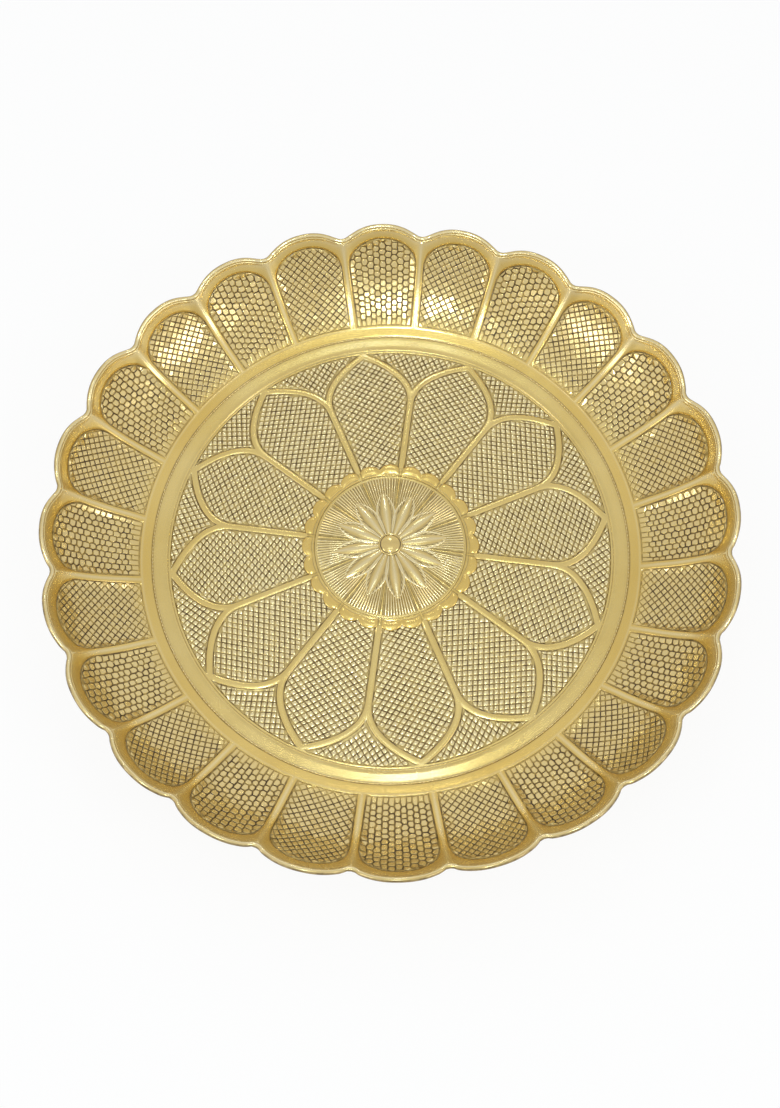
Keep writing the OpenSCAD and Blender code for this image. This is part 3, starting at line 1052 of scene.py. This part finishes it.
links.new(shader.outputs["BSDF"], blend.inputs[1])
links.new(glow.outputs["Emission"], blend.inputs[2])
links.new(blend.outputs["Shader"], nodes["Material Output"].inputs["Surface"])
sheet.materials.append(paper)

# Studio: a pale room, a little brighter to the sides of the plate than behind and before
# it, so that the brass has soft lighter and darker bands to reflect.
sky_ends = (0.7, 0.88)
sky_levels = (
    (0.1, 0.74), (0.2, 0.84), (0.36, 0.84), (0.5, 0.79), (0.6, 0.84), (0.67, 0.77), (0.74, 0.75),
    (0.93, 0.86))
world = bpy.data.worlds.new("studio")
bpy.context.scene.world = world
world.use_nodes = True
nodes = world.node_tree.nodes
links = world.node_tree.links
way = nodes.new("ShaderNodeTexCoord")
split = nodes.new("ShaderNodeSeparateXYZ")
links.new(way.outputs["Generated"], split.inputs["Vector"])
across = nodes.new("ShaderNodeMapRange")
across.inputs["From Min"].default_value = -1
links.new(split.outputs["Y"], across.inputs["Value"])
ramp = nodes.new("ShaderNodeValToRGB")
stops = ramp.color_ramp.elements
for end, level in zip(stops, sky_ends):
    end.color = (level, level, level, 1)
for stop, level in sky_levels:
    stops.new(stop).color = (level, level, level, 1)
links.new(across.outputs["Result"], ramp.inputs["Fac"])
links.new(ramp.outputs["Color"], nodes["Background"].inputs["Color"])


# Soft lights turned to the plate; the ones above are cool, which whitens the highlights
def lamp(name, place, size, power, colour=(1, 1, 1)):
    light = bpy.data.lights.new(name, "AREA")
    light.shape = "RECTANGLE"
    light.size, light.size_y = size
    light.energy = power
    light.color = colour
    made = bpy.data.objects.new(name, light)
    made.location = place
    made.rotation_mode = "QUATERNION"
    made.rotation_quaternion = (Vector(place) * -1).to_track_quat("-Z", "Y")
    bpy.context.scene.collection.objects.link(made)


lamp("near soft light", (-0.1, -0.55, 1.3), (0.24, 0.18), 3.1, (0.76, 0.9, 1.0))
lamp("overhead soft light", (0, -0.04, 1.4), (0.5, 0.1), 0.4, (0.68, 0.86, 1.0))
lamp("far soft light", (-0.02, 0.83, 1.02), (0.09, 0.1), 0.38, (0.78, 0.9, 1.0))
lamp("right soft light", (0.9, -0.5, 0.7), (0.3, 0.3), 1.3)
lamp("left soft light", (-0.9, -0.45, 0.65), (0.3, 0.3), 1.1)

# Camera: as the plate was photographed, from the near side and about 70 degrees up, with
# the frame turned by about one degree.
camera_place = (-0.000273, -0.171832, 0.462723)
tilt = math.radians(69.9334)
roll = math.radians(-1.0478)
lens = bpy.data.cameras.new("camera")
lens.sensor_width = 36
lens.lens = 34.71
lens.clip_start = 0.01
lens.clip_end = 10
camera = bpy.data.objects.new("camera", lens)
back = Vector((0, -math.cos(tilt), math.sin(tilt)))
flat_x = Vector((1, 0, 0))
flat_y = Vector((0, math.sin(tilt), math.cos(tilt)))
x_axis = flat_x * math.cos(roll) + flat_y * math.sin(roll)
y_axis = flat_y * math.cos(roll) - flat_x * math.sin(roll)
rows = [(x_axis[i], y_axis[i], back[i], camera_place[i]) for i in range(3)]
camera.matrix_world = Matrix((*rows, (0, 0, 0, 1)))
bpy.context.scene.collection.objects.link(camera)
bpy.context.scene.camera = camera
bpy.context.scene.view_settings.view_transform = "Standard"
